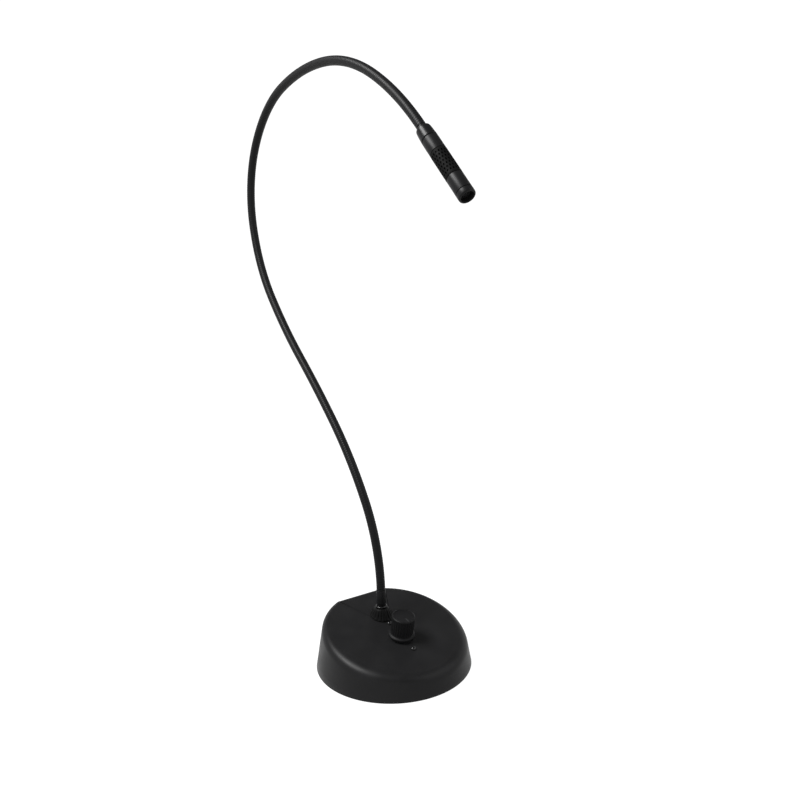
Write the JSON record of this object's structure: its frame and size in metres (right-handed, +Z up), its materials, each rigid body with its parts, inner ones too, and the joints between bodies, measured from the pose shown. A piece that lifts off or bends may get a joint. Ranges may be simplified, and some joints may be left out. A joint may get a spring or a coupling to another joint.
{
  "type": "desktop microphone stand",
  "caption": "Gooseneck desk microphone: weighted wedge base with level knob and rear inlet, long flexible neck looping forward, slim condenser head.",
  "frame": {"origin": "centre of the base's round outline, on the underside of the foot pad where the stand rests", "axes": "+Z up; -Y the front, where the head points and the top slopes down; X = 0 the plane of symmetry, +X to the right seen from the front"},
  "size_m": [0.1082, 0.293, 0.4107],
  "materials": {
    "base_satin": "satin black, fine texture",
    "knob_plastic": "black moulded plastic",
    "black_rubber": "matt black rubber",
    "black_metal": "black anodised, satin",
    "neck_satin": "black coated steel, satin, fine spiral ribs",
    "black_gloss": "black plated metal, glossy",
    "zinc_steel": "zinc plated",
    "cast_iron": "rough casting",
    "board_green": "solder-masked board",
    "cable_grey": "soft cable jacket",
    "insert_black": "moulded insulator",
    "brass_gold": "gold plated brass"
  },
  "bodies": {
    "base": {"ballast_weight": "cast_iron", "base_plate": "zinc_steel", "base_screw_1": "zinc_steel", "base_screw_2": "zinc_steel", "base_screw_3": "zinc_steel", "base_screw_4": "zinc_steel", "base_shell": "base_satin", "board_spacer_1": "insert_black", "board_spacer_2": "insert_black", "board_spacer_3": "insert_black", "cable_plug": "insert_black", "collar_ring": "black_gloss", "control_bracket": "zinc_steel", "foot_pad": "black_rubber", "inlet_insert": "insert_black", "inlet_pin_1": "brass_gold", "inlet_pin_2": "brass_gold", "inlet_pin_3": "brass_gold", "inlet_screw_1": "black_metal", "inlet_screw_2": "black_metal", "inlet_shell": "black_metal", "level_pot": "black_metal", "mic_cable": "cable_grey", "neck_collar": "black_metal", "neck_link_1": "neck_satin", "neck_lock_nut": "brass_gold", "neck_root_fitting": "black_metal", "output_capacitor": "cable_grey", "panel_screw_front": "black_gloss", "panel_screw_rear": "black_gloss", "pot_nut": "zinc_steel", "pot_washer": "zinc_steel", "preamp_board": "board_green", "tapered_washer": "zinc_steel"},
    "neck_2": {"neck_link_2": "neck_satin"},
    "neck_3": {"neck_link_3": "neck_satin"},
    "neck_4": {"neck_link_4": "neck_satin"},
    "neck_5": {"neck_link_5": "neck_satin"},
    "neck_6": {"neck_link_6": "neck_satin"},
    "neck_7": {"neck_link_7": "neck_satin"},
    "neck_8": {"neck_link_8": "neck_satin"},
    "neck_9": {"neck_link_9": "neck_satin"},
    "head": {"neck_link_10": "neck_satin", "head_ferrule": "black_gloss", "head_body_tube": "black_metal", "vent_sleeve": "black_metal", "head_front_tube": "black_metal", "head_tip_ring": "black_metal", "mic_grille": "black_metal", "capsule_gasket": "black_rubber", "cable_clamp": "insert_black", "capsule_board": "board_green", "mic_capsule": "zinc_steel"},
    "knob": {"pot_shaft": "zinc_steel", "level_knob": "knob_plastic", "knob_set_screw": "zinc_steel"}
  },
  "joints": [
    {"name": "neck_bend_1", "type": "hinge", "parent": "base", "child": "neck_2", "pos_m": [0, 0.03263, 0.10985], "axis": [1, 0, 0], "range_deg": [-24, 15], "deforming": ["mic_cable"]},
    {"name": "neck_sway_2", "type": "hinge", "parent": "neck_2", "child": "neck_3", "pos_m": [0, 0.07374, 0.15894], "axis": [0, 0.6794, -0.7337], "range_deg": [-24, 24], "deforming": ["mic_cable"]},
    {"name": "neck_bend_3", "type": "hinge", "parent": "neck_3", "child": "neck_4", "pos_m": [0, 0.12262, 0.20053], "axis": [1, 0, 0], "range_deg": [-24, 15], "deforming": ["mic_cable"]},
    {"name": "neck_sway_4", "type": "hinge", "parent": "neck_4", "child": "neck_5", "pos_m": [0, 0.16939, 0.24438], "axis": [0, 0.7466, -0.6652], "range_deg": [-24, 24], "deforming": ["mic_cable"]},
    {"name": "neck_bend_5", "type": "hinge", "parent": "neck_5", "child": "neck_6", "pos_m": [0, 0.19708, 0.3014], "axis": [1, 0, 0], "range_deg": [-24, 15], "deforming": ["mic_cable"]},
    {"name": "neck_sway_6", "type": "hinge", "parent": "neck_6", "child": "neck_7", "pos_m": [0, 0.18308, 0.3623], "axis": [0, 0.809, 0.5878], "range_deg": [-24, 24], "deforming": ["mic_cable"]},
    {"name": "neck_bend_7", "type": "hinge", "parent": "neck_7", "child": "neck_8", "pos_m": [0, 0.13177, 0.39903], "axis": [1, 0, 0], "range_deg": [-24, 15], "deforming": ["mic_cable"]},
    {"name": "neck_sway_8", "type": "hinge", "parent": "neck_8", "child": "neck_9", "pos_m": [0, 0.06845, 0.40765], "axis": [0, -0.0297, 0.9996], "range_deg": [-24, 24], "deforming": ["mic_cable"]},
    {"name": "neck_bend_9", "type": "hinge", "parent": "neck_9", "child": "head", "pos_m": [0, 0.0066, 0.39234], "axis": [1, 0, 0], "range_deg": [-24, 15], "deforming": ["mic_cable"]},
    {"name": "level_turn", "type": "hinge", "parent": "base", "child": "knob", "pos_m": [0, -0.0101, 0.02396], "axis": [0, -0.2164, 0.9763], "range_deg": [-150, 150]}
  ]
}
